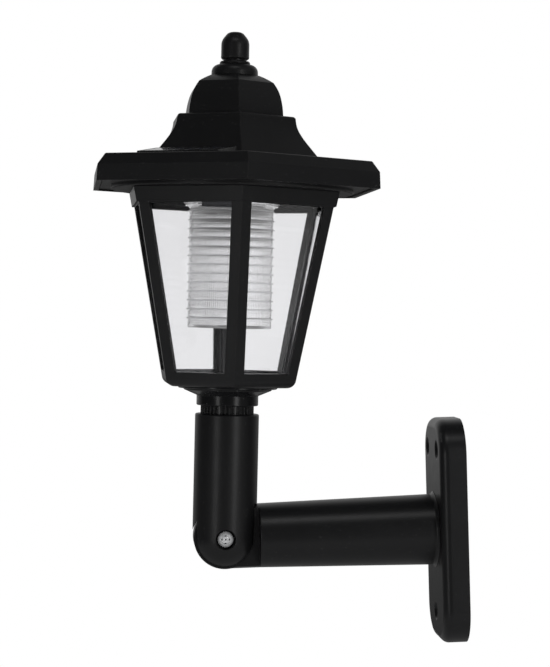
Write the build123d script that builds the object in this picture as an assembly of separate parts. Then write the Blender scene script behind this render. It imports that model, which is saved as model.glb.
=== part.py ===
"""Hexagonal coach light with its own solar cell, on a hinged wall arm.

Millimetres.  Origin: centre of the wall plate's back face.  +X into the wall, +Z up.
The lantern is drawn square on its own axis, then leaned and turned about the hinge.
"""
import os
from math import cos, degrees, radians, sin, tan

from build123d import *

# Fits shared by mating pieces
seat = 0.05            # gap left under a face that rests on another piece
slip = 0.25            # gap round a piece that drops into a pocket
screw_fit = 0.15       # radial gap round a screw in a plain hole
thread_fit = 0.02      # radial gap round a screw in the hole it taps
running = 0.06         # radial gap of pins and sliding rings

# Pose of the lantern on its arm
reach = 122.0          # wall to hinge axis
lean = 2.85            # degrees off square, toward the wall
turn = 2.1             # degrees the lantern is turned in its socket

# Wall plate
plate_w = 53.0
plate_h = 114.6
plate_t = 13.4
plate_corner = 18.0
plate_edge = 4.5
plate_skin = 3.0
wall_hole_r = 2.6
wall_sink_r = 5.0
wall_hole_z = 42.0     # above and below the arm
wall_hole_y = 14.0     # either side, upper pair only

# Arm
arm_tip_r = 16.4
arm_root_r = 18.15
root_flare = 1.4
arm_wall = 2.6
shoulder = 17.6        # hinge axis to the arm's full round
tongue_t = 14.0
tongue_r = 15.9
arm_screw_ring = 12.2
arm_boss_r = 3.7
tapping_r = 1.5        # self-tapping screw, outside its thread
tapping_head_r = 2.9

# Upright tube with its forked foot
tube_r = 16.4
tube_bore = 13.75
tube_top = 63.1
tube_floor = 21.0
washer_t = 0.5
fork_gap = tongue_t + 2 * washer_t + 4 * seat

# Pivot screw and its nut
pivot_r = 2.0
pivot_head_r = 4.0
pivot_head_h = 2.6
pivot_seat = 11.6      # hinge centre to the screw head's seat
recess_r = 5.1
nut_flats = 7.0
nut_h = 3.2

# Neck under the cage
neck_gap = 4.3         # spigot left bare above the tube
neck_h = 9.8           # collar, cone and disc
neck_r = 15.85
cone_h = 2.6
spigot_r = 13.1
spigot_long = 33.4
spigot_bore = 10.6
spigot_rib_r = 0.45
spigot_ribs = 40
neck_hub_r = 12.0
disc_inner = 22.6
disc_outer = 25.5
disc_t = 1.1
neck_screw_ring = 15.8

# Cage, with the hexagon's corner radii
cage_h = 91.8          # underside of the floor to the collar
cage_floor_t = 2.6
cage_edge = 4.6        # rounding of the lower edge
sill_h = 7.3           # underside of the floor to the panes' windows
cage_low_r = 37.1      # at the underside, before the edge is rounded
cage_top_r = 56.3
collar_h = 7.4
collar_low_r = 57.7
collar_high_r = 59.4
cage_wall = 2.2
post_strip = 5.6       # width of a post on each facet
lintel = 0.5           # frame left above the windows, behind the collar
pane_t = 1.2

# Underplate and the round step below it, which rests on the cage's collar
roof_gap = 0.1
step_h = 2.2
step_r = 62.0
lip_drop = 0.8         # brim's lower edge below the underplate
under_t = 2.0
step_floor = 2.2
lid_ring_r = 46.6
lid_ring_h = 4.9
pad_r = 24.5
pad_h = 5.9
pad_t = 5.4
roof_screw_ring = 35.0
roof_boss_r = 3.6

# Roof: the hexagon's corner radii, and heights each from the line below
brim_r = 81.0
brim_band_h = 8.2
brim_band_r = 80.5
brim_slant_h = 5.5
brim_top_r = 76.2
deck_rise = 1.7
tier_foot_r = 47.6
tier_h = 21.1
tier_top_r = 33.2
bell_foot_r = 27.6
bell_h = 17.4
bell_brow_r = 21.9
cap_h = 3.9
bell_top_r = 13.8
roof_wall = 2.2
crown_t = 3.0

# Finial
ring_r = 12.0
ring_h = 5.8
bead_r = 7.8
bead_h = 1.7
stem_r = 5.9
stem_h = 1.0
knob_r = 7.2
knob_h = 14.2
stud_r = 2.5
finial_nut_flats = 8.0
finial_nut_h = 3.5

# Solar cell on one facet of the brim
tray_long = 43.6
tray_deep = 21.0
tray_edge = 1.2        # brim's top edge to the tray
tray_front = 0.8       # height of the tray's outer side
tray_back = 2.7        # and of its side at the tier
cell_long = 38.5
cell_deep = 16.0
cell_t = 0.6
wire_r = 1.6

# Diffuser
lens_r = 22.1
lens_wall = 1.5
lens_h = 63.7
lens_flange_r = 23.6
lens_flange_t = 1.5
lens_neck_r = 19.6
lens_neck_h = 3.6
groove_count = 13
groove_pitch = 4.55
groove_start = 4.1     # pad to the highest groove
groove_depth = 0.5

# Rechargeable cell, its tray and door
aaa_r = 5.25
aaa_long = 44.5
battery_y = 37.0
battery_rise = 1.05    # clear of the door
bay_long = 50.4
bay_deep = 12.4
tray_wall = 1.2
door_long = 58.0
door_deep = 17.0
door_t = 1.5
door_screw_r = 1.0
door_screw_x = 27.3

# Electronics
board_long = 34.0
board_deep = 26.0
board_t = 1.6
board_rise = 0.9
led_r = 2.5
switch_x = -9.9
switch_long = 13.4
switch_deep = 7.0
switch_drop = 2.6      # below the pad
knob_long = 3.4
knob_deep = 2.6
switch_travel = 3.0

# Heights that follow from the sizes above, from the hinge axis
neck_base = tube_top + neck_gap
cage_floor = neck_base + neck_h
collar_low = cage_floor + cage_h
collar_high = collar_low + collar_h
step_low = collar_high + roof_gap
under_low = step_low + step_h
under_high = under_low + under_t
pad_low = step_low - pad_h
pad_floor = pad_low + pad_t
brim_low = under_low - lip_drop
brim_band = brim_low + brim_band_h
brim_top = brim_band + brim_slant_h
tier_foot = brim_top + deck_rise
tier_top = tier_foot + tier_h
bell_brow = tier_top + bell_h
bell_top = bell_brow + cap_h
ring_low = bell_top + seat
bead_low = ring_low + ring_h + seat
knob_low = bead_low + bead_h + stem_h
knob_top = knob_low + knob_h
battery_z = step_low + door_t + battery_rise + aaa_r
board_z = under_high + board_rise
switch_low = pad_low - switch_drop


def apothem(corner_radius):
    return corner_radius * cos(radians(30))


def leaned(part):
    """From the upright's own axes, hinge at the origin, to the light's frame."""
    return Pos(-reach, 0, 0) * Rot(0, lean, 0) * part


def placed(part):
    """As leaned, for the pieces that are turned in the socket as well."""
    return leaned(Rot(0, 0, turn) * part)


def hexagon(corner_radius, z):
    return Pos(0, 0, z) * RegularPolygon(corner_radius, 6, rotation=30)


def frustum(low_r, low_z, high_r, high_z):
    return loft([hexagon(low_r, low_z), hexagon(high_r, high_z)])


def turned(*lines):
    """Solid of revolution about Z from lines drawn as (radius, height)."""
    return revolve(Plane.XZ * make_face(Curve() + list(lines)), Axis.Z)


def hexed(*lines):
    """Solid whose six facets all follow lines drawn as (distance from axis, height)."""
    half = make_face(Curve() + list(lines))
    slab = extrude(Plane.XZ * (half + mirror(half, Plane.YZ)), 120, both=True)
    return slab & Rot(0, 0, 60) * slab & Rot(0, 0, 120) * slab


def ring(outer, inner, low, high):
    return Pos(0, 0, low) * extrude(Circle(outer) - Circle(inner), high - low)


def rod(radius, low, high):
    return Pos(0, 0, low) * extrude(Circle(radius), high - low)


def between(a, b, across, rise):
    """Point between a and b, by its share of the run and of the rise."""
    return a[0] + (b[0] - a[0]) * across, a[1] + (b[1] - a[1]) * rise


def along_x(part):
    """Lay a piece drawn up Z along -X, its foot at the wall plate's back."""
    return Rot(0, -90, 0) * part


def cross_recess(depth, span=4.4, width=1.1):
    """Cross-shaped driver recess, cut down from z = 0."""
    arms = Rectangle(span, width) + Rectangle(width, span)
    return extrude(arms, -depth, taper=8)


def tapping_screw(length):
    """Small pan-head screw, seat at z = 0, point down."""
    head = turned(
        Line((0, 0), (tapping_head_r, 0)),
        Line((tapping_head_r, 0), (tapping_head_r, 0.9)),
        ThreePointArc((tapping_head_r, 0.9), (2.0, 1.7), (0, 1.9)),
        Line((0, 1.9), (0, 0)),
    )
    shank = turned(
        Line((0, 0), (tapping_r, 0)),
        Line((tapping_r, 0), (tapping_r, 1.5 - length)),
        Line((tapping_r, 1.5 - length), (0, -length)),
        Line((0, -length), (0, 0)),
    )
    return head + shank - Pos(0, 0, 2) * cross_recess(1.4, 3.0, 0.8)


# ---------------------------------------------------------------- wall bracket

def wall_hole_places():
    upper = [Pos(0, y, wall_hole_z) for y in (-wall_hole_y, wall_hole_y)]
    return upper + [Pos(0, 0, -wall_hole_z)]


def arm_screw_places():
    return [Pos(0, arm_screw_ring * cos(radians(a)), arm_screw_ring * sin(radians(a)))
            for a in (90, 210, 330)]


def wall_plate():
    outline = RectangleRounded(plate_h, plate_w, plate_corner)
    body = extrude(outline, plate_t)
    body = fillet(body.faces().sort_by(Axis.Z)[-1].edges(), plate_edge)
    hollow = extrude(offset(outline, -plate_skin), plate_t - plate_skin)
    hollow -= rod(arm_root_r + 2.5, 0, plate_t)
    for z in (-wall_hole_z, wall_hole_z):
        hollow -= Pos(z, 0, 0) * Box(3, plate_w, 3 * plate_t)
    body = along_x(body - hollow)
    for place in wall_hole_places():
        body += place * along_x(rod(wall_sink_r + 1.8, 0, plate_t - 0.5))
        body -= place * along_x(rod(wall_hole_r, -1, plate_t + 1))
        sink = Cone(wall_hole_r, wall_sink_r, 2.4)
        body -= place * along_x(Pos(0, 0, plate_t - 1.2) * sink)
        body -= place * along_x(rod(wall_sink_r, plate_t - 0.02, plate_t + 1))
    core = ring(arm_screw_ring - arm_boss_r - 1.5, 3, 0, plate_t - plate_skin)
    body -= along_x(core)
    for place in arm_screw_places():
        body -= place * along_x(rod(tapping_r + screw_fit, -1, plate_t + 1))
        body -= place * along_x(rod(tapping_head_r + slip, -1, plate_t - 4.5))
    return body


def arm():
    """Drawn up Z from the plate, so z here is the distance from the wall."""
    foot = plate_t + seat
    full = reach - shoulder
    shell = turned(
        Line((0, foot), (arm_root_r + root_flare, foot)),
        ThreePointArc((arm_root_r + root_flare, foot), (arm_root_r + 0.3 * root_flare, foot + 0.8),
                      (arm_root_r, foot + 2.4)),
        Line((arm_root_r, foot + 2.4), (arm_tip_r, full)),
        Line((arm_tip_r, full), (0, full)),
        Line((0, full), (0, foot)),
    )
    shell = fillet(shell.edges().group_by(Axis.Z)[-1], 0.8)
    bore = Pos(0, 0, foot) * extrude(Circle(arm_root_r - arm_wall), full - foot - 5, taper=1.1)
    body = along_x(shell - bore)
    for place in arm_screw_places():
        boss = place * along_x(rod(arm_boss_r, foot, foot + 20))
        body += boss & along_x(rod(arm_root_r - 1, foot, full))
        body -= place * along_x(rod(tapping_r + thread_fit, foot - 1, foot + 15))
    neck = Rot(0, 90, 0) * Cylinder(arm_tip_r, 2 * shoulder + 4)
    disc = Rot(90, 0, 0) * Cylinder(tongue_r, tongue_t)
    tongue = (neck & Pos(shoulder / 2 + 1, 0, 0) * Box(shoulder + 2, tongue_t, 40)) + disc
    tongue -= Rot(90, 0, 0) * Cylinder(pivot_r + screw_fit, 40)
    return body + Pos(-reach, 0, 0) * tongue


def arm_screws():
    screw = along_x(Rot(0, 180, 0) * tapping_screw(14))
    seat_x = plate_t - 4.5 - seat
    return Compound(children=[place * Pos(-seat_x, 0, 0) * screw for place in arm_screw_places()])


# ---------------------------------------------------------------- upright and hinge

def upright():
    column = rod(tube_r, -tube_r - 1, tube_top)
    column = fillet(column.edges().group_by(Axis.Z)[-1], 0.8)
    body = column & (Sphere(tube_r) + Pos(0, 0, tube_top) * Box(80, 80, 2 * tube_top))
    body -= rod(tube_bore, tube_floor, tube_top + 1)
    sweep_r = max(tongue_r, arm_tip_r) + 0.35
    slot = Rot(90, 0, 0) * Cylinder(sweep_r, fork_gap)
    slot += Pos(0, 0, -20) * Box(60, fork_gap, 40)
    slot += Pos(18.5, 0, -1.4) * Box(43, fork_gap, 2 * (arm_tip_r + 1.2) + 2.8)
    body -= slot
    body -= Rot(90, 0, 0) * Cylinder(pivot_r + screw_fit, 60)
    body -= Rot(90, 0, 0) * Pos(0, 0, pivot_seat) * extrude(Circle(recess_r), 20)
    pocket = extrude(RegularPolygon((nut_flats + slip) / 2, 6, major_radius=False), 20)
    return body - Rot(-90, 0, 0) * Pos(0, 0, pivot_seat - 0.6) * pocket


def pivot_screw():
    """Front to back along Y, head in the near ear's recess."""
    head = turned(
        Line((0, seat), (pivot_head_r, seat)),
        Line((pivot_head_r, seat), (pivot_head_r, 1.3)),
        ThreePointArc((pivot_head_r, 1.3), (2.9, 2.25), (0, pivot_head_h)),
        Line((0, pivot_head_h), (0, seat)),
    )
    shank = Pos(0, 0, 0.5) * extrude(Circle(pivot_r), -26.0)
    shank = chamfer(shank.edges().group_by(Axis.Z)[0], 0.4)
    screw = head + shank - Pos(0, 0, pivot_head_h + 0.1) * cross_recess(1.7)
    return Rot(90, 0, 0) * Pos(0, 0, pivot_seat) * screw


def pivot_nut():
    nut = extrude(RegularPolygon(nut_flats / 2, 6, major_radius=False), nut_h)
    nut = nut & Pos(0, 0, nut_h / 2) * Cylinder(nut_flats / 2 + 0.35, nut_h)
    nut -= Cylinder(pivot_r + running, 20)
    return Rot(-90, 0, 0) * Pos(0, 0, pivot_seat - 0.6 + seat) * nut


def friction_washers():
    washer = extrude(Circle(9) - Circle(pivot_r + screw_fit), washer_t / 2, both=True)
    offset_y = tongue_t / 2 + seat + washer_t / 2
    return Compound(children=[Pos(0, y, 0) * Rot(90, 0, 0) * washer for y in (-offset_y, offset_y)])


# ---------------------------------------------------------------- neck and cage

def neck_screw_places():
    return PolarLocations(neck_screw_ring, 3, start_angle=30)


def neck():
    top = cage_floor - seat
    hub_top = cage_floor + cage_floor_t
    spigot_end = neck_base - spigot_long
    cone_top = top - disc_t - 1.0
    body = turned(
        Line((spigot_bore, spigot_end), (spigot_r - 0.8, spigot_end)),
        Line((spigot_r - 0.8, spigot_end), (spigot_r, spigot_end + 2)),
        Line((spigot_r, spigot_end + 2), (spigot_r, neck_base)),
        Line((spigot_r, neck_base), (neck_r - 0.4, neck_base)),
        Line((neck_r - 0.4, neck_base), (neck_r, neck_base + 0.4)),
        Line((neck_r, neck_base + 0.4), (neck_r, cone_top - cone_h)),
        Line((neck_r, cone_top - cone_h), (disc_inner - 0.6, cone_top)),
        ThreePointArc((disc_inner - 0.6, cone_top), (disc_inner - 0.1, cone_top + 0.3),
                      (disc_inner, cone_top + 0.8)),
        Line((disc_inner, cone_top + 0.8), (disc_outer - 0.4, top - disc_t)),
        Line((disc_outer - 0.4, top - disc_t), (disc_outer, top - disc_t + 0.4)),
        Line((disc_outer, top - disc_t + 0.4), (disc_outer, top)),
        Line((disc_outer, top), (neck_hub_r, top)),
        Line((neck_hub_r, top), (neck_hub_r, hub_top)),
        Line((neck_hub_r, hub_top), (spigot_bore, hub_top)),
        Line((spigot_bore, hub_top), (spigot_bore, spigot_end)),
    )
    rib = rod(spigot_rib_r, spigot_end + 4, neck_base + 1)
    body += PolarLocations(tube_bore - running - spigot_rib_r, spigot_ribs) * rib
    for place in neck_screw_places():
        body -= place * rod(tapping_r + thread_fit, top - 3.6, top + 1)
    return body


def neck_screws():
    seat_z = cage_floor + cage_floor_t + seat
    return Compound(children=[place * Pos(0, 0, seat_z) * tapping_screw(5.6)
                              for place in neck_screw_places()])


def cage_radius(z):
    """Corner radius of the posts' outer face at height z."""
    return cage_low_r + (cage_top_r - cage_low_r) * (z - cage_floor) / cage_h


def window(low, high, strip):
    """Cutter for one facet's opening, its sides parallel to the posts' ridges."""
    mid = (low + high) / 2
    rise = apothem(cage_radius(high)) - apothem(cage_radius(low))
    slant = ((high - low) ** 2 + rise ** 2) ** 0.5
    bottom = cage_radius(low) / 2 - strip
    top = cage_radius(high) / 2 - strip
    outline = Polygon((-bottom, -slant / 2), (bottom, -slant / 2), (top, slant / 2),
                      (-top, slant / 2), align=None)
    normal = Vector(high - low, 0, -rise).normalized()
    facet = Plane(origin=(apothem(cage_radius(mid)), 0, mid), x_dir=(0, 1, 0), z_dir=normal)
    return facet, outline


def cage():
    body = frustum(cage_low_r, cage_floor, cage_radius(collar_low + 3), collar_low + 3)
    body = fillet(body.edges().group_by(Axis.Z)[0], cage_edge)
    body += frustum(collar_low_r, collar_low, collar_high_r, collar_high)
    inner_low = cage_floor + cage_floor_t
    skin = cage_wall / cos(radians(30))
    body -= frustum(cage_radius(inner_low) - skin, inner_low,
                    cage_radius(collar_high + 1) - skin, collar_high + 1)
    facet, outline = window(cage_floor + sill_h, collar_low - lintel, post_strip)
    cutter = extrude(facet * outline, 5, both=True)
    for side in range(6):
        body -= Rot(0, 0, 60 * side) * cutter
    body -= rod(neck_hub_r + slip, cage_floor - 1, inner_low + 1)
    for place in neck_screw_places():
        body -= place * rod(tapping_r + screw_fit, cage_floor - 1, inner_low + 1)
    return body


def pane(side):
    low = cage_floor + cage_floor_t + 2.4
    high = step_low - lid_ring_h - 1.0
    gap = cage_wall + 0.1 + pane_t
    facet, outline = window(low, high, (gap + 0.2) * tan(radians(30)) + 0.25)
    sheet = Pos(0, 0, -gap) * extrude(outline, pane_t)
    return Rot(0, 0, 60 * side) * (facet * sheet)


# ---------------------------------------------------------------- roof

def roof_outline():
    """One facet as (distance from the axis, height)."""
    edge = apothem(brim_top_r)
    foot = (apothem(tier_foot_r), tier_foot)
    lip = (apothem(tier_top_r + 1.4), tier_top - 1.9)
    shelf = (apothem(tier_top_r - 1.2), tier_top)
    bell = (apothem(bell_foot_r), tier_top + 0.1)
    brow = (apothem(bell_brow_r), bell_brow)
    crown = (apothem(bell_top_r), bell_top)
    return [
        Line((0, brim_low), (apothem(brim_r), brim_low)),
        Line((apothem(brim_r), brim_low), (apothem(brim_band_r), brim_band)),
        Line((apothem(brim_band_r), brim_band), (edge + 0.5, brim_top - 0.8)),
        ThreePointArc((edge + 0.5, brim_top - 0.8), (edge, brim_top - 0.2), (edge - 0.8, brim_top)),
        Line((edge - 0.8, brim_top), foot),
        tier_curve(foot, lip),
        ThreePointArc(lip, (apothem(tier_top_r + 0.8), tier_top - 0.5), shelf),
        Line(shelf, bell),
        bell_curve(bell, brow),
        ThreePointArc(brow, between(brow, crown, 0.58, 0.64), crown),
        Line(crown, (0, bell_top)),
        Line((0, bell_top), (0, brim_low)),
    ]


def tier_curve(foot, lip):
    return Spline(foot, between(foot, lip, 0.41, 0.31), between(foot, lip, 0.82, 0.66), lip,
                  tangents=[(-0.75, 1), (-0.1, 1)])


def bell_curve(foot, brow):
    return Spline(foot, between(foot, brow, 0.21, 0.49), between(foot, brow, 0.56, 0.79), brow,
                  tangents=[(-0.02, 1), (-0.62, 1)])


def roof_hollow():
    band = apothem(brim_band_r) - roof_wall
    rim = (apothem(brim_top_r) - roof_wall - 0.2, brim_top - roof_wall)
    foot = (apothem(tier_foot_r) - 1.6, tier_foot - roof_wall)
    tier = (apothem(tier_top_r) - 1.6, tier_top - roof_wall - 1)
    bell = (apothem(bell_foot_r) - roof_wall, tier_top - roof_wall - 1)
    brow = (apothem(bell_brow_r) - roof_wall, bell_brow - roof_wall)
    crown = (apothem(bell_top_r) - 1.6, bell_top - crown_t)
    return [
        Line((0, brim_low - 1), (band, brim_low - 1)),
        Line((band, brim_low - 1), (band, brim_band - 0.9)),
        Line((band, brim_band - 0.9), rim),
        Line(rim, foot),
        tier_curve(foot, tier),
        Line(tier, bell),
        bell_curve(bell, brow),
        Line(brow, crown),
        Line(crown, (0, bell_top - crown_t)),
        Line((0, bell_top - crown_t), (0, brim_low - 1)),
    ]


def roof_screw_places():
    return [Rot(0, 0, a) * Pos(roof_screw_ring, 0, 0) for a in (-90, 30, 150)]


def roof_shell():
    outer = hexed(*roof_outline())
    body = outer - hexed(*roof_hollow())
    boss_low = under_high + seat
    for place in roof_screw_places():
        body += place * rod(roof_boss_r, boss_low, tier_top) & outer
        body -= place * rod(tapping_r + thread_fit, boss_low - 1, boss_low + 9)
    body -= rod(stud_r + screw_fit, bell_top - 10, bell_top + 1)
    return body - on_facet(rod(wire_r, -9, 3))


def finial_ring():
    """Rounded ring that the finial clamps on the roof's crown."""
    top = ring_low + ring_h
    return turned(
        Line((stud_r + screw_fit, ring_low), (ring_r, ring_low)),
        Line((ring_r, ring_low), (ring_r - 0.1, ring_low + 2.2)),
        ThreePointArc((ring_r - 0.1, ring_low + 2.2), (ring_r - 1.0, top - 1.3), (bead_r + 0.8, top)),
        Line((bead_r + 0.8, top), (stud_r + screw_fit, top)),
        Line((stud_r + screw_fit, top), (stud_r + screw_fit, ring_low)),
    )


def finial():
    stud_end = bell_top - crown_t - finial_nut_h - 1
    bead_top = bead_low + bead_h
    cheek = (knob_r, knob_top - 0.5 * knob_h)
    tip = (0, knob_top)
    return turned(
        Line((0, stud_end), (stud_r, stud_end)),
        Line((stud_r, stud_end), (stud_r, bead_low)),
        Line((stud_r, bead_low), (bead_r - 0.4, bead_low)),
        ThreePointArc((bead_r - 0.4, bead_low), (bead_r, bead_low + 0.85), (bead_r - 0.5, bead_top)),
        Line((bead_r - 0.5, bead_top), (stem_r, bead_top)),
        Line((stem_r, bead_top), (stem_r, knob_low)),
        ThreePointArc((stem_r, knob_low), (knob_r - 0.2, knob_low + 0.5), (knob_r, knob_low + 1.6)),
        Line((knob_r, knob_low + 1.6), cheek),
        Spline(cheek, between(tip, cheek, 0.93, 0.61), between(tip, cheek, 0.69, 0.26), tip,
               tangents=[(0, 1), (-1, 0)]),
        Line(tip, (0, stud_end)),
    )


def finial_nut():
    nut = extrude(RegularPolygon(finial_nut_flats / 2, 6, major_radius=False), -finial_nut_h)
    return Pos(0, 0, bell_top - crown_t - seat) * nut - Cylinder(stud_r + running, 4 * bell_top)


# ---------------------------------------------------------------- solar cell

def on_facet(part):
    """Place a flat piece, drawn about the origin, on the facet that faces front left."""
    edge = apothem(brim_top_r) - 0.8
    slope = deck_rise / (edge - apothem(tier_foot_r))
    inward = tray_edge + tray_deep / 2
    middle = Pos(edge - inward, 0, brim_top + inward * slope)
    return Rot(0, 0, -120) * middle * Rot(0, degrees(slope), 0) * part


def solar_tray():
    """Wedge-shaped frame, higher toward the tier; x outward, y along the facet."""
    half = tray_deep / 2
    side = Polygon((-half, seat), (half, seat), (half, tray_front), (-half, tray_back), align=None)
    body = Rot(90, 0, 0) * extrude(side, tray_long / 2, both=True)
    body = chamfer(body.edges().filter_by(Axis.Y).sort_by(Axis.Z)[-2:], 0.3)
    pocket = Rectangle(cell_deep + slip, cell_long + slip)
    body -= cell_seat() * Pos(0, 0, -cell_t) * extrude(pocket, 5)
    return on_facet(body - rod(wire_r, -5, 5))


def cell_seat():
    """Centre of the tray's sloping upper face."""
    tilt = (tray_back - tray_front) / tray_deep
    return Pos(0, 0, (tray_back + tray_front) / 2) * Rot(0, degrees(tilt), 0)


def solar_cell():
    body = extrude(Rectangle(cell_deep, cell_long), -cell_t + seat)
    return on_facet(cell_seat() * body)


# ---------------------------------------------------------------- underplate and what it carries

def bay(part):
    return Pos(0, battery_y, 0) * part


def underplate():
    rim = apothem(brim_band_r) - roof_wall - 0.5
    body = Pos(0, 0, under_low) * extrude(RegularPolygon(rim, 6, major_radius=False, rotation=30), under_t)
    step = rod(step_r, step_low, under_low)
    step = fillet(step.edges().group_by(Axis.Z)[0], 0.8)
    body += step
    body -= ring(step_r - 2.5, pad_r + 3, step_low + step_floor, under_high + 1)
    body += ring(lid_ring_r, lid_ring_r - 1.6, step_low - lid_ring_h, step_low)
    body += rod(pad_r, pad_low, step_low + 0.5)
    body -= rod(pad_r - 3, pad_floor, under_high + 1)
    for place in roof_screw_places():
        body += place * rod(roof_boss_r + 1.4, step_low, under_high)
        body -= place * rod(tapping_r + screw_fit, step_low - 1, under_high + 1)
        body -= place * rod(tapping_head_r + slip, step_low - 1, step_low + step_floor)
    frame = Pos(0, 0, step_low) * extrude(Rectangle(bay_long + 12, bay_deep + 8), under_high - step_low)
    body += bay(frame) & rod(step_r - 1, step_low, under_high)
    body -= bay(Pos(0, 0, step_low - 1) * extrude(Rectangle(bay_long, bay_deep), 9))
    body -= bay(Pos(0, 0, step_low - 1) * extrude(Rectangle(door_long + 0.5, door_deep + 0.5), 1 + door_t + seat))
    for place in door_screw_places():
        body -= place * rod(door_screw_r + thread_fit, step_low, under_high - 0.4)
    neck_hole = ring(lens_neck_r + slip, lens_neck_r - lens_wall - slip, pad_low - 1, pad_low + lens_neck_h + 0.3)
    body -= neck_hole
    body -= rod(led_r + slip, pad_low - 1, step_low + 1)
    body -= Pos(switch_x, 0, pad_low - 1) * extrude(Rectangle(switch_long + 0.3, switch_deep + 0.3), 8)
    return body


def roof_screws():
    seat_z = step_low + step_floor - seat
    screw = Rot(180, 0, 0) * tapping_screw(9)
    return Compound(children=[place * Pos(0, 0, seat_z) * screw for place in roof_screw_places()])


def door_screw_places():
    return [bay(Pos(x, 0, 0)) for x in (-door_screw_x, door_screw_x)]


def battery_door():
    body = Pos(0, 0, step_low + 0.2) * extrude(RectangleRounded(door_long, door_deep, 1.5), door_t - 0.2)
    for x in (-6, -3, 0, 3, 6):
        body -= Pos(x, 0, step_low) * Box(1, 9, 1.0)
    body = bay(body)
    for place in door_screw_places():
        body -= place * rod(door_screw_r + screw_fit, step_low - 1, step_low + 3)
    return body


def door_screws():
    head = turned(
        Line((0, 0), (1.9, 0)),
        Line((1.9, 0), (1.9, 0.5)),
        ThreePointArc((1.9, 0.5), (1.1, 0.95), (0, 1.1)),
        Line((0, 1.1), (0, 0)),
    )
    screw = head + rod(door_screw_r, -3.2, 0) - Pos(0, 0, 1.15) * cross_recess(0.7, 2.0, 0.6)
    screw = Pos(0, 0, step_low + 0.2 - seat) * Rot(180, 0, 0) * screw
    return Compound(children=[place * screw for place in door_screw_places()])


def battery_tray():
    """Open-topped cradle standing in the underplate's bay."""
    low = step_low + door_t + 2 * seat
    outer = Rectangle(bay_long - 0.3, bay_deep - 0.2)
    body = Pos(0, 0, low) * extrude(outer, 10.2)
    body += Pos(0, 0, under_high + seat) * extrude(Rectangle(bay_long + 5, bay_deep + 4), 1)
    body -= Pos(0, 0, low - 1) * extrude(Rectangle(bay_long - 2.8, bay_deep - 1.9), 14)
    for x in (-12, 12):
        body -= Pos(x, 0, low + 8.2) * Box(9, 30, 6)
    return bay(body)


def battery():
    body = Rot(0, 90, 0) * Cylinder(aaa_r, aaa_long - 0.8)
    body = fillet(body.edges(), 0.6)
    button = Pos(aaa_long / 2 - 0.4, 0, 0) * Rot(0, 90, 0) * Cylinder(1.9, 0.9)
    return Pos(0, battery_y, battery_z) * (body + button)


def contact_plate():
    inside = (bay_long - 2.8) / 2
    body = Pos(inside - 0.3, 0, battery_z - 0.5) * Box(0.4, 9.6, 8)
    body += Pos(inside - 0.6, 0, battery_z) * Rot(0, 90, 0) * Cylinder(1.6, 0.4)
    return bay(body)


def contact_spring():
    inside = -(bay_long - 2.8) / 2
    body = Pos(inside + 0.3, 0, battery_z - 0.5) * Box(0.4, 9.6, 8)
    for step, radius in enumerate((3.6, 2.9)):
        coil = Rot(0, 90, 0) * Torus(radius, 0.3)
        body += Pos(inside + 0.7 + 0.4 * step, 0, battery_z) * coil
    return bay(body)


def circuit_board():
    body = Pos(0, 0, board_z) * extrude(Rectangle(board_long, board_deep), board_t)
    body += Pos(-9, 5, board_z + board_t) * extrude(Rectangle(5, 4), 1.5)
    body += Pos(8, 6, board_z + board_t) * rod(3.0, 0, 3.2)
    body += Pos(7, -6, board_z + board_t) * Rot(0, 0, 25) * extrude(Rectangle(7, 3), 3.0)
    for x in (-led_r / 2, led_r / 2):
        body -= Pos(x, 0, 0) * rod(0.4, board_z - 1, board_z + board_t + 1)
    return body


def led():
    low = pad_floor + seat
    dome = low - 5.2
    bulb = turned(
        Line((0, low + 1), (2.9, low + 1)),
        Line((2.9, low + 1), (2.9, low)),
        Line((2.9, low), (led_r, low)),
        Line((led_r, low), (led_r, dome)),
        Spline((led_r, dome), (led_r * 0.7071, dome - led_r * 0.7071), (0, dome - led_r),
               tangents=[(0, -1), (-1, 0)]),
        Line((0, dome - led_r), (0, low + 1)),
    )
    for x in (-led_r / 2, led_r / 2):
        bulb += Pos(x, 0, 0) * rod(0.3, low + 0.5, board_z + board_t + 0.8)
    return bulb


def switch_body():
    """Slide switch let into the pad, its opening facing down."""
    body = Pos(switch_x, 0, switch_low) * extrude(Rectangle(switch_long, switch_deep), 6.0)
    body = chamfer(body.edges().group_by(Axis.Z)[0], 0.3)
    long_slot = knob_long + 2 * switch_travel + 0.6
    body -= Pos(switch_x, 0, switch_low - 1) * extrude(Rectangle(long_slot, knob_deep + 0.3), 3.4)
    tab = Pos(switch_x, 0, switch_low + 6.0) * extrude(Rectangle(9, 5), 0.6)
    return body + tab


def switch_knob():
    x = switch_x - switch_travel / 2
    body = Pos(x, 0, switch_low - 0.5) * extrude(Rectangle(knob_long, knob_deep), 2.8)
    for step in (-1, 0, 1):
        body -= Pos(x + step, 0, switch_low - 0.5) * Box(0.35, knob_deep + 1, 0.5)
    return body


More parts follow.
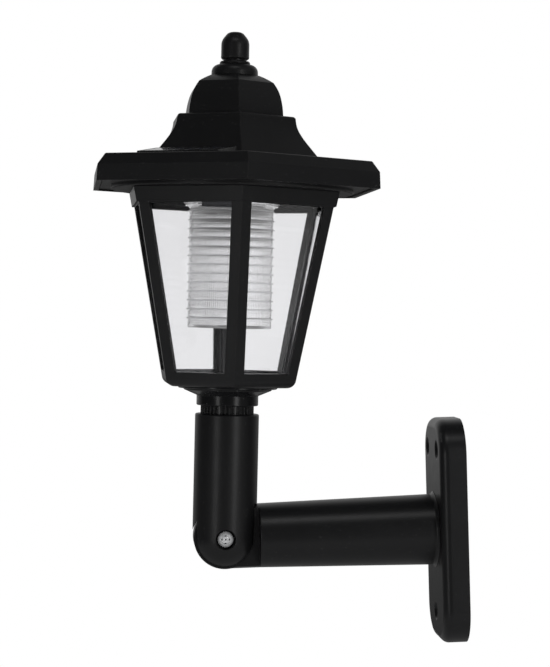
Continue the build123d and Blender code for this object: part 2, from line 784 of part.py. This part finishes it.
def diffuser():
    """Closed tube with a stack of shallow outer ribs, hung by its neck."""
    flange_top = pad_low - seat
    flange_low = flange_top - lens_flange_t
    lens_low = pad_low - lens_h
    corner = (lens_r - 0.3, lens_low + 0.8)
    outside = [(0, lens_low), (lens_r - 1.5, lens_low), corner]
    for count in reversed(range(groove_count)):
        groove = pad_low - groove_start - count * groove_pitch
        outside += [(lens_r, groove - groove_pitch * 0.55), (lens_r - groove_depth, groove)]
    inner = lens_r - groove_depth - lens_wall
    throat = lens_neck_r - lens_wall
    neck_top = flange_top + lens_neck_h
    rest = [(lens_r, flange_low), (lens_flange_r, flange_low), (lens_flange_r, flange_top),
            (lens_neck_r, flange_top), (lens_neck_r, neck_top), (throat, neck_top),
            (throat, flange_low - 0.6), (inner, flange_low - 3), (inner, lens_low + 1.6),
            (0, lens_low + 1.6), (0, lens_low)]
    points = outside + rest
    return turned(*[Line(a, b) for a, b in zip(points, points[1:])])


# ---------------------------------------------------------------- export

def pieces():
    made = {
        "wall_plate": wall_plate(),
        "arm": arm(),
        "arm_screws": arm_screws(),
        "upright": leaned(upright()),
        "pivot_screw": leaned(pivot_screw()),
        "pivot_nut": leaned(pivot_nut()),
        "friction_washers": leaned(friction_washers()),
        "neck": placed(neck()),
        "neck_screws": placed(neck_screws()),
        "cage": placed(cage()),
        "roof_shell": placed(roof_shell()),
        "finial": placed(finial()),
        "finial_ring": placed(finial_ring()),
        "finial_nut": placed(finial_nut()),
        "solar_tray": placed(solar_tray()),
        "solar_cell": placed(solar_cell()),
        "underplate": placed(underplate()),
        "roof_screws": placed(roof_screws()),
        "battery_door": placed(battery_door()),
        "door_screws": placed(door_screws()),
        "battery_tray": placed(battery_tray()),
        "battery": placed(battery()),
        "contact_plate": placed(contact_plate()),
        "contact_spring": placed(contact_spring()),
        "circuit_board": placed(circuit_board()),
        "led": placed(led()),
        "switch_body": placed(switch_body()),
        "switch_knob": placed(switch_knob()),
        "diffuser": placed(diffuser()),
    }
    for side in range(6):
        made["pane_%d" % (side + 1)] = placed(pane(side))
    return made


if __name__ == "__main__":
    os.makedirs("parts", exist_ok=True)
    for name, part in pieces().items():
        export_step(part, "parts/%s.step" % name)
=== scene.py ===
"""Finishes, light and fine pieces of the hexagonal wall lantern."""
from math import atan2, cos, pi, radians, sin

import bmesh
import bpy
from mathutils import Matrix, Vector


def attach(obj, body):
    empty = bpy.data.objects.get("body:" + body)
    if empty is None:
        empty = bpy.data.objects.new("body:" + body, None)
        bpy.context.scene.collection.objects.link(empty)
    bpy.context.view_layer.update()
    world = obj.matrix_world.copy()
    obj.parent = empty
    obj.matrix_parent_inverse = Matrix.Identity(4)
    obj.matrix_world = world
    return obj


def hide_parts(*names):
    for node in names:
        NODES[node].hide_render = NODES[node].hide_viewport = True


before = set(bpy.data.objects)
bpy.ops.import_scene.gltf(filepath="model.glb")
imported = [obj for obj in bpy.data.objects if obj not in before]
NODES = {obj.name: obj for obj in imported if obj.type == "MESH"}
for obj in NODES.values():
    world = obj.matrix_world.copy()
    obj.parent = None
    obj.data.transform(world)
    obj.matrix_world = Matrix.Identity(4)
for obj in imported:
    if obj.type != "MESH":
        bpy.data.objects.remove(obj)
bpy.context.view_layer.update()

MM = Matrix.Scale(0.001, 4)      # from millimetres to metres

# Axes: upright leaned toward the wall at the hinge, lantern turned in its socket,
# hinge screw along Z, and the brim's facet under the solar cell
HINGE = Vector((-0.122, 0, 0))
LEAN = radians(2.85)
TURN = radians(2.1)
UPRIGHT = Matrix.Translation(HINGE) @ Matrix.Rotation(LEAN, 4, "Y")
LANTERN = UPRIGHT @ Matrix.Rotation(TURN, 4, "Z")
HINGE_AXES = UPRIGHT @ Matrix.Rotation(radians(90), 4, "X")
FACET = LANTERN @ Matrix.Rotation(radians(-120), 4, "Z") @ Matrix.Translation((0.0535, 0, 0.194))

# Diffuser, in millimetres out from the lantern's axis and up from the hinge
PAD_UNDER = 170.6      # underside of the pad that the diffuser hangs from
TUBE_FOOT = 106.9
TUBE_R = 21.35
BORE_R = 20.4
FLANGE_R = 23.58
RIB_R = 22.1
RIB_TOP = 166.5        # middle of the highest rib
RIB_PITCH = 4.55
RIB_COUNT = 13

# Photograph, in pixels: its size, and the lens's focal length and centre in it
PHOTO_W, PHOTO_H = 550, 667
FOCAL = 1902.275
LENS_X, LENS_Y = 265.047, 333.054


# ---------------------------------------------------------------- shader writing

class Level:
    """A number, colour or vector inside a material; arithmetic on it adds nodes."""

    def __init__(self, finish, socket):
        self.finish = finish
        self.socket = socket

    def sum(self, operation, *values):
        return self.finish.add("ShaderNodeMath", 0, dict(enumerate(values)), operation=operation)

    def __add__(self, other):
        return self.sum("ADD", self, other)

    def __radd__(self, other):
        return self.sum("ADD", other, self)

    def __sub__(self, other):
        return self.sum("SUBTRACT", self, other)

    def __rsub__(self, other):
        return self.sum("SUBTRACT", other, self)

    def __mul__(self, other):
        return self.sum("MULTIPLY", self, other)

    def __rmul__(self, other):
        return self.sum("MULTIPLY", other, self)

    def __truediv__(self, other):
        return self.sum("DIVIDE", self, other)

    def __pow__(self, other):
        return self.sum("POWER", self, other)

    def __gt__(self, other):
        return self.sum("GREATER_THAN", self, other)

    def __lt__(self, other):
        return self.sum("LESS_THAN", self, other)

    def __abs__(self):
        return self.sum("ABSOLUTE", self)

    def fraction(self):
        return self.sum("FRACT", self)

    def or_more(self, other):
        return self.sum("MAXIMUM", self, other)

    def angle_to(self, across):
        return self.sum("ARCTAN2", self, across)

    def ramp(self, low, high):
        """0 below low, 1 above high, smooth between."""
        values = {"Value": self, "From Min": low, "From Max": high}
        return self.finish.add("ShaderNodeMapRange", 0, values, interpolation_type="SMOOTHSTEP")


class Finish:
    """The node tree of one material or of the world."""

    def __init__(self, tree):
        self.tree = tree
        tree.nodes.clear()

    def add(self, kind, out, values, **settings):
        """One node: settings first, then its sockets' numbers or links; returns output out."""
        node = self.tree.nodes.new(kind)
        for name, setting in settings.items():
            setattr(node, name, setting)
        for name, value in values.items():
            if isinstance(value, Level):
                self.tree.links.new(value.socket, node.inputs[name])
            else:
                node.inputs[name].default_value = value
        return Level(self, node.outputs[out])

    def where(self, frame_of=None):
        """Object coordinates in metres, seen from the axes of frame_of."""
        place = self.add("ShaderNodeTexCoord", "Object", {})
        if frame_of is None:
            return place
        values = {"Vector": place, "Location": frame_of.translation,
                  "Rotation": frame_of.to_euler()}
        return self.add("ShaderNodeMapping", 0, values, vector_type="TEXTURE")

    def parts(self, vector):
        return [self.add("ShaderNodeSeparateXYZ", axis, {"Vector": vector}) for axis in "XYZ"]

    def noise(self, place, pitch, detail=2.0, roughness=0.5):
        """Noise from 0 to 1 whose grains are about pitch metres apart."""
        values = {"Vector": place, "Scale": 1 / pitch, "Detail": detail, "Roughness": roughness}
        return self.add("ShaderNodeTexNoise", 0, values)

    def mix(self, amount, low, high):
        """Colour from low to high."""
        values = {0: amount, 6: low, 7: high}
        return self.add("ShaderNodeMix", 2, values, data_type="RGBA")

    def relief(self, height, depth, below=None):
        """Normal of a surface raised by height times depth metres."""
        values = {"Height": height, "Distance": depth}
        if below is not None:
            values["Normal"] = below
        return self.add("ShaderNodeBump", 0, values)

    def close(self, shader, surface="Material"):
        """End the tree in the output of a material or of the world."""
        out = self.tree.nodes.new("ShaderNodeOutput" + surface)
        self.tree.links.new(shader.socket, out.inputs["Surface"])


def finish_named(name):
    """A new material and the Finish that writes its nodes."""
    material = bpy.data.materials.new(name)
    material.use_nodes = True
    return material, Finish(material.node_tree)


def grey(level, tint=1.0):
    """Grey that leans to blue by tint."""
    return (level, level * (1 + 0.02 * tint), level * (1 + 0.12 * tint), 1)


def darker(colour, share):
    return tuple(share * part for part in colour[:3]) + (1,)


# ---------------------------------------------------------------- finishes

def black_plastic(name, level=0.0055, gloss=0.36, grain=0.0003, depth=0.000006, dust=0.25):
    """Satin moulded plastic: fine grain, faint flow marks, handling marks and dust."""
    material, f = finish_named(name)
    place = f.where()
    fine = f.noise(place, grain, 3.0)
    cloud = f.noise(place, 0.022, 3.0)
    rub = f.noise(place, 0.006, 4.0, 0.6)
    speck = f.noise(place, 0.0011, 1.0).ramp(0.70, 0.76)
    plain = f.mix(cloud, grey(level * 0.8), grey(level * 1.25))
    rounded = f.add("ShaderNodeBevel", 0, {"Radius": 0.00045}, samples=4)
    shader = f.add("ShaderNodeBsdfPrincipled", 0, {
        "Base Color": f.mix(speck * dust, plain, grey(0.06, 0.3)),
        "Roughness": gloss - 0.06 + 0.1 * rub + 0.04 * fine + 0.2 * speck,
        "IOR": 1.46,
        "Normal": f.relief(fine, depth, rounded),
    })
    f.close(shader)
    return material


def clear_plastic(name):
    """Clear styrene, slightly wavy from the mould, with a breath of haze and fine dust."""
    material, f = finish_named(name)
    tint = (0.94, 0.94, 0.95, 1)
    place = f.where()
    swell = f.noise(place, 0.012, 2.0)
    haze = f.noise(place, 0.03, 3.0)
    dust = f.noise(place, 0.0008, 2.0).ramp(0.66, 0.74)
    shader = f.add("ShaderNodeBsdfPrincipled", 0, {
        "Base Color": f.mix(haze, tint, darker(tint, 0.97)),
        "Roughness": 0.02 + 0.03 * haze + 0.15 * dust,
        "IOR": 1.5,
        "Transmission Weight": 1.0,
        "Normal": f.relief(swell, 0.00002),
    })
    f.close(shader)
    return material


def milky_plastic():
    """Clear styrene clouded by its flutes, with painted shade along the ribs and a faint painted
    glow.
    """
    material, f = finish_named("diffuser_plastic_painted_glow")
    place = f.where(LANTERN)
    _, _, height = f.parts(place)
    # painted shade: a thin band along the middle of each rib is darkened, in the colour and in the
    # glow
    from_rib = ((height - RIB_TOP / 1000) / (RIB_PITCH / 1000) + 0.5).fraction() - 0.5
    rib = (abs(from_rib) < 0.075) * (height < (RIB_TOP + 1.5) / 1000)
    cloud = f.noise(place, 0.004, 4.0)
    bright = f.mix(cloud, (1.0, 1.0, 1.0, 1), (0.96, 0.96, 0.97, 1))
    shader = f.add("ShaderNodeBsdfPrincipled", 0, {
        "Base Color": f.mix(rib * 0.4, bright, (0.3, 0.3, 0.31, 1)),
        "Roughness": 0.02 + 0.02 * cloud,
        "IOR": 1.4,
        "Transmission Weight": 1.0,
        # painted glow: faint emission over the whole tube, dimmed along the ribs by the painted rib
        # shade
        "Emission Color": f.mix(rib * 0.5, (1, 1, 1, 1), (0.3, 0.3, 0.31, 1)),
        "Emission Strength": 0.045,
        "Normal": f.relief(f.noise(place, 0.0006, 2.0), 0.00001),
    })
    f.close(shader)
    return material


def plated_steel(name, axes, thread=None):
    """Chalky bright zinc; axes has the screw's axis as Z, and thread is (radius, pitch)."""
    material, f = finish_named(name)
    zinc = (0.8, 0.81, 0.82, 1)
    place = f.where(axes)
    dull = f.noise(place, 0.0016, 4.0)
    fine = f.noise(place, 0.00012, 2.0)
    relief = f.relief(fine, 0.000006)
    if thread is not None:
        relief = screw_thread(f, place, thread, relief)
    shader = f.add("ShaderNodeBsdfPrincipled", 0, {
        "Base Color": f.mix(dull, zinc, darker(zinc, 0.72)),
        "Roughness": 0.24 + 0.2 * dull,
        "Metallic": 0.45,
        "Normal": relief,
    })
    f.close(shader)
    return material


def screw_thread(f, place, thread, below):
    """Helical ridge on everything that lies within the thread's radius of the axis."""
    radius, pitch = thread
    across, away, height = f.parts(place)
    out = (across * across + away * away) ** 0.5
    turn = away.angle_to(across) / (2 * pi)
    ridge = abs((height / pitch + turn).fraction() - 0.5)
    return f.relief(ridge * (1 - out.ramp(radius * 1.05, radius * 1.2)), pitch, below)


def nickel():
    """Nickel on spring steel, slightly yellow, with drawing lines and tarnish."""
    material, f = finish_named("nickel")
    place = f.where(LANTERN)
    _, _, height = f.parts(place)
    lines = (height * 9000 + 3 * f.noise(place, 0.004)).fraction()
    tarnish = f.noise(place, 0.003, 5.0, 0.65)
    shader = f.add("ShaderNodeBsdfPrincipled", 0, {
        "Base Color": f.mix(tarnish, (0.72, 0.69, 0.61, 1), (0.5, 0.46, 0.38, 1)),
        "Roughness": 0.2 + 0.25 * tarnish,
        "Metallic": 0.9,
        "Normal": f.relief(lines, 0.000004),
    })
    f.close(shader)
    return material


def nylon():
    """Natural nylon washers: waxy off-white with faint turning rings."""
    material, f = finish_named("nylon")
    place = f.where(HINGE_AXES)
    across, away, _ = f.parts(place)
    out = (across * across + away * away) ** 0.5
    rings = (out * 4000).fraction()
    cloud = f.noise(place, 0.004, 3.0)
    shader = f.add("ShaderNodeBsdfPrincipled", 0, {
        "Base Color": f.mix(cloud, (0.74, 0.72, 0.66, 1), (0.62, 0.6, 0.54, 1)),
        "Roughness": 0.45 + 0.1 * cloud,
        "Subsurface Weight": 0.2,
        "Subsurface Scale": 0.001,
        "Normal": f.relief(rings, 0.00001),
    })
    f.close(shader)
    return material


def solar_glass():
    """Blue-black silicon under clear resin: four cells, fine silver fingers and a bus bar."""
    material, f = finish_named("solar_glass")
    place = f.where(FACET)
    out, along, _ = f.parts(place)
    cell = abs((along / 0.0096 + 0.5).fraction() - 0.5)
    gap = (0.5 - cell) < 0.028
    finger = (abs((along / 0.0012).fraction() - 0.5) < 0.035) * (abs(out) < 0.0072)
    bus = abs(out + 0.001) < 0.00035
    silver = (gap * 0.25).or_more((finger * 0.55).or_more(bus * 0.8))
    grain = f.noise(place, 0.002, 4.0)
    silicon = f.mix(grain, (0.002, 0.004, 0.014, 1), (0.004, 0.009, 0.034, 1))
    shader = f.add("ShaderNodeBsdfPrincipled", 0, {
        "Base Color": f.mix(silver, silicon, (0.3, 0.31, 0.33, 1)),
        "Roughness": 0.32 + 0.1 * grain,
        "Coat Weight": 1.0,
        "Coat Roughness": 0.06,
        "Coat IOR": 1.5,
        "Normal": f.relief(f.noise(place, 0.006, 2.0), 0.00001),
    })
    f.close(shader)
    return material


def cell_sleeve():
    """Shrunk sleeve in plain green with a darker band; bare nickelled steel at both ends."""
    material, f = finish_named("cell_sleeve")
    place = f.where(LANTERN)
    sleeve_end, band_low, band_high = 0.0205, 0.0105, 0.0165
    along, _, _ = f.parts(place)
    bare = abs(along) > sleeve_end
    band = (along > band_low) * (along < band_high)
    crease = f.noise(place, 0.0022, 3.0)
    green = f.mix(band, (0.03, 0.21, 0.085, 1), (0.012, 0.06, 0.03, 1))
    shader = f.add("ShaderNodeBsdfPrincipled", 0, {
        "Base Color": f.mix(bare, green, (0.66, 0.64, 0.6, 1)),
        "Roughness": 0.26 + 0.12 * crease,
        "Metallic": bare * 0.9,
        "Normal": f.relief(crease, 0.00003),
    })
    f.close(shader)
    return material


def solder_mask():
    """Green board with paler tracks beneath the mask and dark parts standing on it."""
    material, f = finish_named("solder_mask")
    place = f.where(LANTERN)
    cells = f.add("ShaderNodeTexVoronoi", "Distance", {"Vector": place, "Scale": 260.0},
                  distance="CHEBYCHEV")
    track = (cells * 9).fraction() > 0.62
    _, _, height = f.parts(place)
    board_top = 0.1833
    part = height > board_top
    cloud = f.noise(place, 0.003, 3.0)
    mask = f.mix(track, (0.012, 0.1, 0.04, 1), (0.03, 0.2, 0.085, 1))
    shader = f.add("ShaderNodeBsdfPrincipled", 0, {
        "Base Color": f.mix(part, mask, (0.02, 0.02, 0.021, 1)),
        "Roughness": 0.28 + 0.12 * cloud + 0.15 * part,
        "Normal": f.relief(track * (1 - part), 0.00003),
    })
    f.close(shader)
    return material


def lamp_resin():
    """Water-clear bulb with a cream glow at its heart, on tinned leads."""
    material, f = finish_named("lamp_resin")
    place = f.where(LANTERN)
    _, _, height = f.parts(place)
    lead_foot, heart_low, heart_high = 0.1768, 0.1715, 0.174
    lead = height > lead_foot
    swirl = f.noise(place, 0.0015, 3.0)
    core = f.mix(height.ramp(heart_low, heart_high), (0.93, 0.94, 0.93, 1), (0.9, 0.8, 0.42, 1))
    shader = f.add("ShaderNodeBsdfPrincipled", 0, {
        "Base Color": f.mix(lead, core, (0.7, 0.7, 0.7, 1)),
        "Roughness": 0.08 + 0.1 * swirl + 0.15 * lead,
        "Metallic": lead,
        "IOR": 1.54,
        "Transmission Weight": 0.75,
        "Normal": f.relief(swirl, 0.00001),
    })
    f.close(shader)
    return material


def dress(material, *nodes):
    """Give the material to every slot of these nodes."""
    for node in nodes:
        for slot in NODES[node].material_slots:
            slot.material = material


# ---------------------------------------------------------------- diffuser

def rib_line():
    """Radius and height up the tube's wall, with its narrow raised ribs, lowest first."""
    line = []
    for rib in reversed(range(RIB_COUNT)):
        middle = RIB_TOP - rib * RIB_PITCH
        line += [(TUBE_R, middle - 0.55), (RIB_R - 0.1, middle - 0.25), (RIB_R, middle),
                 (RIB_R - 0.1, middle + 0.25), (TUBE_R, middle + 0.55)]
    return line


def tube_outline():
    """Half section of the closed tube, from its foot up the outside and down the bore."""
    flange_high, spigot_high = PAD_UNDER - 0.1, PAD_UNDER + 3.5
    bore_low, bore_high = TUBE_FOOT + 1.7, RIB_TOP + 0.1
    line = [(0, TUBE_FOOT), (20.6, TUBE_FOOT), (21.2, TUBE_FOOT + 0.3), (TUBE_R, TUBE_FOOT + 1)]
    line += rib_line()
    line += [(21.5, 168.2), (22.1, 169.0), (23.5, 169.1), (FLANGE_R, 169.3),
             (FLANGE_R, flange_high), (19.6, flange_high + 0.05), (19.6, spigot_high),
             (18.2, spigot_high), (18.2, 168.6), (BORE_R, bore_high), (BORE_R, bore_low),
             (BORE_R - 0.8, bore_low - 0.8), (0, bore_low - 0.8)]
    return line


def ribbed_tube(flutes=120, flute_depth=0.3):
    """Clear closed tube: narrow ribs round the outside and fine upright flutes inside."""
    bm = bmesh.new()
    chain = [bm.verts.new((radius, 0, height)) for radius, height in tube_outline()]
    edges = [bm.edges.new(pair) for pair in zip(chain, chain[1:])]
    steps = 4 * flutes
    bmesh.ops.spin(bm, geom=chain + edges, cent=(0, 0, 0), axis=(0, 0, 1), dvec=(0, 0, 0),
                   angle=2 * pi, steps=steps, use_merge=True)
    bmesh.ops.remove_doubles(bm, verts=bm.verts[:], dist=0.0005)
    bore = [v for v in bm.verts if abs(v.co.xy.length - BORE_R) < 0.01]
    for quarter, share in ((1, 0.5), (2, 1.0), (3, 0.5)):
        wider = 1 + share * flute_depth / BORE_R
        cut = [v for v in bore if round(atan2(v.co.y, v.co.x) * steps / (2 * pi)) % 4 == quarter]
        bmesh.ops.scale(bm, vec=(wider, wider, 1), verts=cut)
    bmesh.ops.recalc_face_normals(bm, faces=bm.faces[:])
    for face in bm.faces:
        face.smooth = min(v.co.xy.length for v in face.verts) > BORE_R - 0.1
    return piece("diffuser_tube", bm, LANTERN @ MM)


def piece(name, bm, place):
    """Object at the origin from a bmesh, with its place worked into its mesh."""
    bmesh.ops.transform(bm, matrix=place, verts=bm.verts[:])
    mesh = bpy.data.meshes.new(name)
    bm.to_mesh(mesh)
    bm.free()
    obj = bpy.data.objects.new(name, mesh)
    bpy.context.scene.collection.objects.link(obj)
    return obj


def flange_clip():
    """Grey moulded clip on the pad's rim that keeps the diffuser's flange from turning back."""
    bm = bmesh.new()
    wide, deep, high = 15.6, 2.4, 3.1
    bmesh.ops.create_cube(bm, size=1)
    bmesh.ops.scale(bm, vec=(wide, deep, high), verts=bm.verts[:])
    sides = [e for e in bm.edges if abs(e.verts[0].co.z - e.verts[1].co.z) < 0.01]
    bmesh.ops.bevel(bm, geom=sides, offset=0.35, segments=3, profile=0.5, material=-1,
                    affect="EDGES")
    front = [face for face in bm.faces if face.normal.y < -0.9]
    bmesh.ops.inset_individual(bm, faces=front, thickness=0.5, depth=-0.3)
    beside_flange = Matrix.Rotation(radians(-4), 4, "Z") @ Matrix.Translation((-7.4, -25.2, 169.0))
    return piece("flange_clip", bm, LANTERN @ MM @ beside_flange)


# ---------------------------------------------------------------- stage

def camera():
    """The photograph's viewpoint: eye, direction and lens."""
    eye = Matrix.Translation((-0.168215, -0.974052, 0.115844))
    pan, tilt, roll = radians(4.11), radians(-0.71), radians(-1.54)
    forward = Vector((sin(pan) * cos(tilt), cos(pan) * cos(tilt), sin(tilt)))
    level = Vector((cos(pan), -sin(pan), 0))
    up = level.cross(forward)
    right = cos(roll) * level + sin(roll) * up
    top = -sin(roll) * level + cos(roll) * up
    data = bpy.data.cameras.new("camera")
    data.sensor_width = 36
    data.lens = FOCAL / PHOTO_H * data.sensor_width
    data.shift_x = (PHOTO_W / 2 - LENS_X) / PHOTO_H
    data.shift_y = (LENS_Y - PHOTO_H / 2) / PHOTO_H
    data.clip_start, data.clip_end = 0.05, 20
    seen_from = bpy.data.objects.new("camera", data)
    turned = Matrix((right, top, -forward)).transposed().to_4x4()
    seen_from.matrix_world = eye @ turned
    bpy.context.scene.collection.objects.link(seen_from)
    bpy.context.scene.camera = seen_from


def softbox(name, place, aim, width, height, power):
    """Rectangular lamp at place that faces aim."""
    data = bpy.data.lights.new(name, "AREA")
    data.shape = "RECTANGLE"
    data.size, data.size_y = width, height
    data.energy = power
    lamp = bpy.data.objects.new(name, data)
    lamp.location = place
    lamp.rotation_euler = (Vector(place) - Vector(aim)).to_track_quat("Z", "Y").to_euler()
    bpy.context.scene.collection.objects.link(lamp)


def lamps():
    """Two weak strips and a top box, which draw the highlights; the world gives the level."""
    heart = (-0.12, 0, 0.1)
    softbox("left strip", (-0.8, -0.86, 0.0), heart, 0.16, 0.5, 0.65)
    softbox("right strip", (0.44, -0.92, 0.12), heart, 0.22, 0.8, 1.3)
    softbox("top box", (-0.1, -0.75, 1.15), heart, 0.7, 0.3, 1.2)


def looking_past(f):
    """Three levels, one of them 1: the ray has met only glass, was mirrored, or was scattered."""
    scattered = f.add("ShaderNodeLightPath", "Diffuse Depth", {}) > 0.5
    mirrored = f.add("ShaderNodeLightPath", "Glossy Depth", {}) > 0.5
    return (1 - scattered) * (1 - mirrored), (1 - scattered) * mirrored, scattered


def surroundings():
    """White for what looks past or through the light; for sheen, white behind and dark in front."""
    world = bpy.data.worlds.new("studio")
    world.use_nodes = True
    world.cycles.sampling_method = "NONE"
    bpy.context.scene.world = world
    f = Finish(world.node_tree)
    plain, sheen, scattered = looking_past(f)
    across, away, height = f.parts(f.add("ShaderNodeTexCoord", "Generated", {}))
    behind = away.ramp(0.3, 0.9) * (0.03 + 0.5 * height.ramp(-0.16, 0.02))
    right = across.ramp(0.3, 0.8) * (1 - across.ramp(0.93, 0.99))
    glow = 0.02 + behind + right * (0.08 + 0.05 * height.ramp(-0.1, 0.4))
    inside = f.add("ShaderNodeLightPath", "Is Transmission Ray", {})
    left_front = (-1 * across).ramp(0.6, 0.8) * (-1 * away).ramp(0.2, 0.4)
    strength = plain + sheen * (glow + inside * (1.0 - 0.75 * left_front - glow)) + scattered * 0.75
    shader = f.add("ShaderNodeBackground", 0, {"Color": (1, 1, 1, 1), "Strength": strength})
    f.close(shader, "World")


def floor():
    """Pale disc that keeps the light's shadow and fades to white toward its rim."""
    middle, level, radius = -0.1, -0.3, 1.0
    bm = bmesh.new()
    bmesh.ops.create_circle(bm, cap_ends=True, segments=96, radius=radius)
    obj = piece("floor", bm, Matrix.Translation((middle, 0, level)))
    material, f = finish_named("pale floor")
    across, away, _ = f.parts(f.where())
    out = ((across - middle) * (across - middle) + away * away) ** 0.5
    plain, sheen, _ = looking_past(f)
    tone = f.mix(sheen, (0.86, 0.86, 0.86, 1), (0.3, 0.3, 0.3, 1))
    pale = f.add("ShaderNodeBsdfDiffuse", 0, {"Color": tone})
    white = f.add("ShaderNodeEmission", 0, {"Color": (1, 1, 1, 1), "Strength": 1.0})
    blend = f.add("ShaderNodeMixShader", 0, {0: plain * out.ramp(0.35, 0.95), 1: pale, 2: white})
    f.close(blend)
    obj.data.materials.append(material)


# ---------------------------------------------------------------- dressing

bpy.context.scene.view_settings.view_transform = "Standard"
camera()
lamps()
surroundings()
floor()

dress(black_plastic("bracket_plastic", gloss=0.31), "wall_plate", "arm")
dress(black_plastic("upright_plastic", gloss=0.35), "upright")
dress(black_plastic("neck_plastic", gloss=0.22, depth=0.000003, dust=0.6), "neck")
dress(black_plastic("cage_plastic", level=0.006), "cage")
dress(black_plastic("roof_plastic"), "roof_shell", "finial", "finial_ring")
dress(black_plastic("underside_plastic", gloss=0.4, dust=0.4), "underplate")
dress(black_plastic("door_plastic", gloss=0.44, grain=0.0005, depth=0.00002), "battery_door",
      "battery_tray")
dress(black_plastic("frame_plastic", gloss=0.26), "solar_tray")
dress(black_plastic("switch_plastic", level=0.012, gloss=0.3, grain=0.0002), "switch_body",
      "switch_knob")
dress(solar_glass(), "solar_cell")
dress(plated_steel("zinc_hinge", HINGE_AXES, (0.002, 0.0007)), "pivot_screw", "pivot_nut")
dress(plated_steel("zinc_screws", LANTERN), "neck_screws", "roof_screws", "door_screws",
      "finial_nut", "arm_screws")
dress(nylon(), "friction_washers")
dress(nickel(), "contact_plate", "contact_spring")
dress(cell_sleeve(), "battery")
dress(solder_mask(), "circuit_board")
dress(lamp_resin(), "led")
dress(clear_plastic("pane_plastic"), *["pane_%d" % side for side in range(1, 7)])

tube = ribbed_tube()
tube.data.materials.append(milky_plastic())
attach(tube, "diffuser")
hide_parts("diffuser")

clip = flange_clip()
clip.data.materials.append(black_plastic("clip_plastic", level=0.09, gloss=0.4))
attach(clip, "roof")
